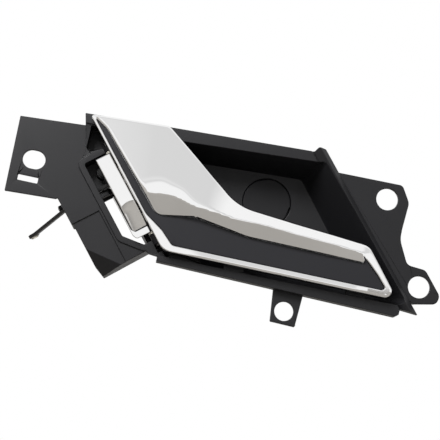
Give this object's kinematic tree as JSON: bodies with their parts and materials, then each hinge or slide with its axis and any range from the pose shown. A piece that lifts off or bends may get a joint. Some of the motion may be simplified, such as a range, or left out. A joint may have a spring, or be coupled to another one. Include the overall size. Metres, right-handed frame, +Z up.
{
  "type": "car interior door handle",
  "caption": "Inside pull handle of a car door: chromed sprung lever with a dark inlay, hinged in a black moulded housing with a finger bowl and screw flanges.",
  "frame": {"origin": "axis of the upper right fixing hole, on the back face of its flange, where the handle bears on the door", "axes": "+X along the handle towards the free end of the lever, +Z up, and the front faces -Y"},
  "size_m": [0.2412, 0.069, 0.0986],
  "materials": {
    "housing_plastic": "fine matt grain",
    "cap_plastic": "matt",
    "carrier_plastic": "glass-filled, matt",
    "chrome_plating": "bright chrome plate on plastic",
    "inlay_paint": "satin dark grey paint",
    "pin_steel": "bright drawn steel",
    "spring_steel": "oiled spring wire",
    "zinc_steel": "zinc plated",
    "crank_steel": "black coated steel sheet",
    "bearing_plastic": "natural acetal",
    "buffer_rubber": "soft black rubber"
  },
  "bodies": {
    "base": {"housing": "housing_plastic", "blanking_cap": "cap_plastic", "hinge_pin": "pin_steel", "pin_clip": "spring_steel", "upper_thrust_washer": "bearing_plastic", "lower_thrust_washer": "bearing_plastic", "spring_sleeve": "bearing_plastic", "return_spring": "spring_steel", "rest_buffer_inner": "buffer_rubber", "rest_buffer_outer": "buffer_rubber", "open_stop_buffer": "buffer_rubber"},
    "lever": {"lever_carrier": "carrier_plastic", "lever_shell": "chrome_plating", "lever_inlay": "inlay_paint", "hinge_cover": "chrome_plating", "crank_arm": "crank_steel", "crank_rivets": "zinc_steel", "cable_bush": "bearing_plastic", "shell_screws": "zinc_steel", "upper_hinge_bush": "bearing_plastic", "lower_hinge_bush": "bearing_plastic"}
  },
  "joints": [
    {"name": "lever_swing", "type": "hinge", "parent": "base", "child": "lever", "pos_m": [-0.1491, -0.003, -0.0072], "axis": [0.6361, 0, -0.7716], "range_deg": [0, 35], "stiffness_Nm_per_rad": 0.35, "springref_deg": -34.38, "deforming": ["return_spring"]}
  ]
}
